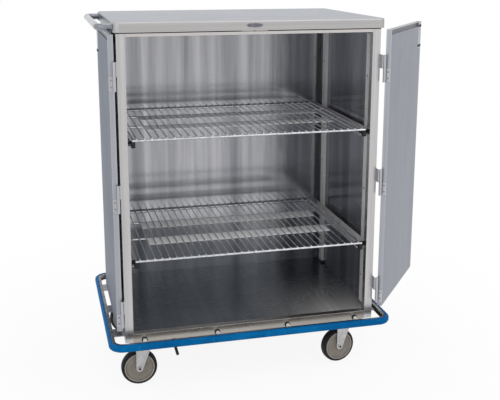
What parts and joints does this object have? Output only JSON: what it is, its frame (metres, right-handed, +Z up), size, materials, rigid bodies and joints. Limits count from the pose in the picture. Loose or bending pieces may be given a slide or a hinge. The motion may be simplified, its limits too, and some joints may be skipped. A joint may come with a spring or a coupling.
{
  "type": "surgical case cart",
  "caption": "Closed steel case cart on swivel casters, with doors that fold back along its sides, pull-out wire shelves, a push handle and a bumper round the base.",
  "frame": {"origin": "on the floor under the middle of the top cap", "axes": "+X to the right of someone facing the doors, +Y to the back, +Z up"},
  "size_m": [1.2646, 0.716, 1.276],
  "materials": {
    "stainless": "brushed",
    "shelf_wire": "bright electropolished",
    "bright_steel": "bright",
    "dark_metal": "satin black",
    "zinc_steel": "zinc plated",
    "blue_vinyl": "semi-gloss vinyl",
    "black_plastic": "matte",
    "black_rubber": "matte",
    "wheel_core": "satin",
    "wheel_tyre": "satin"
  },
  "bodies": {
    "cabinet": {"back_panel": "stainless", "bumper_brackets": "stainless", "bumper_rail": "stainless", "bumper_standoffs": "stainless", "bumper_strip": "blue_vinyl", "caster_bolts": "bright_steel", "caster_kingpins": "bright_steel", "caster_plates": "zinc_steel", "ceiling_panel": "stainless", "chassis_channels": "stainless", "drain_fitting": "stainless", "drain_spout": "black_rubber", "fixed_hinge_leaves": "stainless", "floor_pan": "stainless", "handle_flanges": "stainless", "header_rail": "stainless", "hinge_pins": "bright_steel", "latch_keepers": "stainless", "lower_runners": "stainless", "pilasters": "stainless", "push_handle": "stainless", "runner_stops": "black_plastic", "side_panel_left": "stainless", "side_panel_right": "stainless", "sill_rail": "stainless", "stile_left": "stainless", "stile_right": "stainless", "top_cap": "stainless", "upper_runners": "stainless"},
    "left_door": {"left_door_pan": "stainless", "left_door_liner": "stainless", "left_hinge_leaves": "stainless", "left_latch_case": "stainless", "left_latch_plate": "dark_metal"},
    "left_latch": {"left_latch_bolt": "bright_steel"},
    "right_door": {"right_door_pan": "stainless", "right_door_liner": "stainless", "right_hinge_leaves": "stainless", "right_latch_case": "stainless", "right_latch_plate": "dark_metal"},
    "right_latch": {"right_latch_bolt": "bright_steel"},
    "upper_shelf": {"upper_shelf": "shelf_wire"},
    "lower_shelf": {"lower_shelf": "shelf_wire"},
    "front_left_caster": {"front_left_fork": "zinc_steel", "front_left_axle": "bright_steel"},
    "front_left_roller": {"front_left_wheel": "wheel_core", "front_left_tyre": "wheel_tyre"},
    "front_right_caster": {"front_right_fork": "zinc_steel", "front_right_axle": "bright_steel"},
    "front_right_roller": {"front_right_wheel": "wheel_core", "front_right_tyre": "wheel_tyre"},
    "back_left_caster": {"back_left_fork": "zinc_steel", "back_left_axle": "bright_steel"},
    "back_left_roller": {"back_left_wheel": "wheel_core", "back_left_tyre": "wheel_tyre"},
    "back_right_caster": {"back_right_fork": "zinc_steel", "back_right_axle": "bright_steel"},
    "back_right_roller": {"back_right_wheel": "wheel_core", "back_right_tyre": "wheel_tyre"}
  },
  "joints": [
    {"name": "left_door_hinge", "type": "hinge", "parent": "cabinet", "child": "left_door", "pos_m": [-0.457, -0.3135, 0.7045], "axis": [0, 0, -1], "range_deg": [-270, 0]},
    {"name": "right_door_hinge", "type": "hinge", "parent": "cabinet", "child": "right_door", "pos_m": [0.457, -0.3135, 0.7045], "axis": [0, 0, 1], "range_deg": [-232, 38]},
    {"name": "left_latch_slide", "type": "slide", "parent": "left_door", "child": "left_latch", "axis": [0, 0, -1], "range_m": [-0.01, 0]},
    {"name": "right_latch_slide", "type": "slide", "parent": "right_door", "child": "right_latch", "axis": [0, 0, -1], "range_m": [-0.01, 0]},
    {"name": "upper_shelf_slide", "type": "slide", "parent": "cabinet", "child": "upper_shelf", "axis": [0, -1, 0], "range_m": [0, 0.42]},
    {"name": "lower_shelf_slide", "type": "slide", "parent": "cabinet", "child": "lower_shelf", "axis": [0, -1, 0], "range_m": [0, 0.42]},
    {"name": "front_left_swivel", "type": "hinge", "parent": "cabinet", "child": "front_left_caster", "pos_m": [-0.37, -0.22, 0.1418], "axis": [0, 0, 1], "continuous": true},
    {"name": "front_left_spin", "type": "hinge", "parent": "front_left_caster", "child": "front_left_roller", "pos_m": [-0.396, -0.22, 0.0635], "axis": [0, 1, 0], "continuous": true},
    {"name": "front_right_swivel", "type": "hinge", "parent": "cabinet", "child": "front_right_caster", "pos_m": [0.37, -0.22, 0.1418], "axis": [0, 0, 1], "continuous": true},
    {"name": "front_right_spin", "type": "hinge", "parent": "front_right_caster", "child": "front_right_roller", "pos_m": [0.34432, -0.22407, 0.0635], "axis": [-0.1564, 0.9877, 0], "continuous": true},
    {"name": "back_left_swivel", "type": "hinge", "parent": "cabinet", "child": "back_left_caster", "pos_m": [-0.37, 0.22, 0.1418], "axis": [0, 0, 1], "continuous": true},
    {"name": "back_left_spin", "type": "hinge", "parent": "back_left_caster", "child": "back_left_roller", "pos_m": [-0.396, 0.22, 0.0635], "axis": [0, 1, 0], "continuous": true},
    {"name": "back_right_swivel", "type": "hinge", "parent": "cabinet", "child": "back_right_caster", "pos_m": [0.37, 0.22, 0.1418], "axis": [0, 0, 1], "continuous": true},
    {"name": "back_right_spin", "type": "hinge", "parent": "back_right_caster", "child": "back_right_roller", "pos_m": [0.344, 0.22, 0.0635], "axis": [0, 1, 0], "continuous": true}
  ]
}
